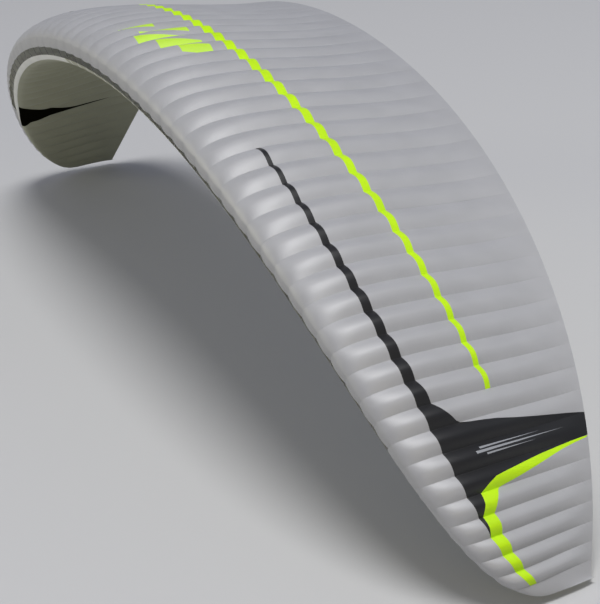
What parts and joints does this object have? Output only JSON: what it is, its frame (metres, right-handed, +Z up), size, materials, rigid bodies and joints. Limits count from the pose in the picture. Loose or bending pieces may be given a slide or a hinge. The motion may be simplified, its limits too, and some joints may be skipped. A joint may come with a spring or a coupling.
{
  "type": "paraglider wing",
  "caption": "Inflated paraglider wing: an arched, tapered ram-air canopy of sewn cloth panels with puffed cells and open mouths along the nose.",
  "frame": {"origin": "on the outer face of the lower skin at the centre seam, just over a third of the chord behind the nose, where the pull of the lines is centred", "axes": "+X the way the wing flies, +Y towards the pilot's left tip, +Z up; the wing is mirrored in the XZ plane and its tips hang below the origin"},
  "size_m": [2.1537, 9.7376, 2.832],
  "materials": {
    "grey_cloth": "coated ripstop, satin",
    "lime_cloth": "coated ripstop, satin",
    "black_cloth": "coated ripstop, satin",
    "white_cloth": "coated ripstop, satin"
  },
  "bodies": {
    "root": {"nose_upper_centre": "grey_cloth", "nose_upper_left_inner": "grey_cloth", "nose_upper_right_inner": "grey_cloth", "nose_upper_left_middle": "grey_cloth", "nose_upper_right_middle": "grey_cloth", "nose_upper_left_outer": "grey_cloth", "nose_upper_right_outer": "grey_cloth", "mid_upper_centre": "grey_cloth", "mid_upper_left_inner": "grey_cloth", "mid_upper_right_inner": "grey_cloth", "mid_upper_left_middle": "grey_cloth", "mid_upper_right_middle": "grey_cloth", "stripe_upper_centre": "lime_cloth", "stripe_upper_left_inner": "lime_cloth", "stripe_upper_right_inner": "lime_cloth", "stripe_upper_left_middle": "lime_cloth", "stripe_upper_right_middle": "lime_cloth", "aft_upper_centre": "grey_cloth", "aft_upper_left_inner": "grey_cloth", "aft_upper_right_inner": "grey_cloth", "aft_upper_left_middle": "grey_cloth", "aft_upper_right_middle": "grey_cloth", "lower_centre": "grey_cloth", "lower_left_inner": "grey_cloth", "lower_right_inner": "grey_cloth", "lower_left_middle": "grey_cloth", "lower_right_middle": "grey_cloth", "lip_centre": "white_cloth", "lip_left_near": "white_cloth", "lip_right_near": "white_cloth", "lip_left_inner": "white_cloth", "lip_right_inner": "white_cloth", "lip_left_middle": "white_cloth", "lip_right_middle": "white_cloth", "outer_upper_left": "grey_cloth", "dark_upper_left": "black_cloth", "lime_tip_left": "lime_cloth", "tip_upper_left": "grey_cloth", "tip_cell_left": "grey_cloth", "dark_lower_left": "black_cloth", "lower_outer_left": "grey_cloth", "outer_upper_right": "grey_cloth", "dark_upper_right": "black_cloth", "lime_tip_right": "lime_cloth", "tip_upper_right": "grey_cloth", "tip_cell_right": "grey_cloth", "dark_lower_right": "black_cloth", "lower_outer_right": "grey_cloth"}
  },
  "joints": []
}
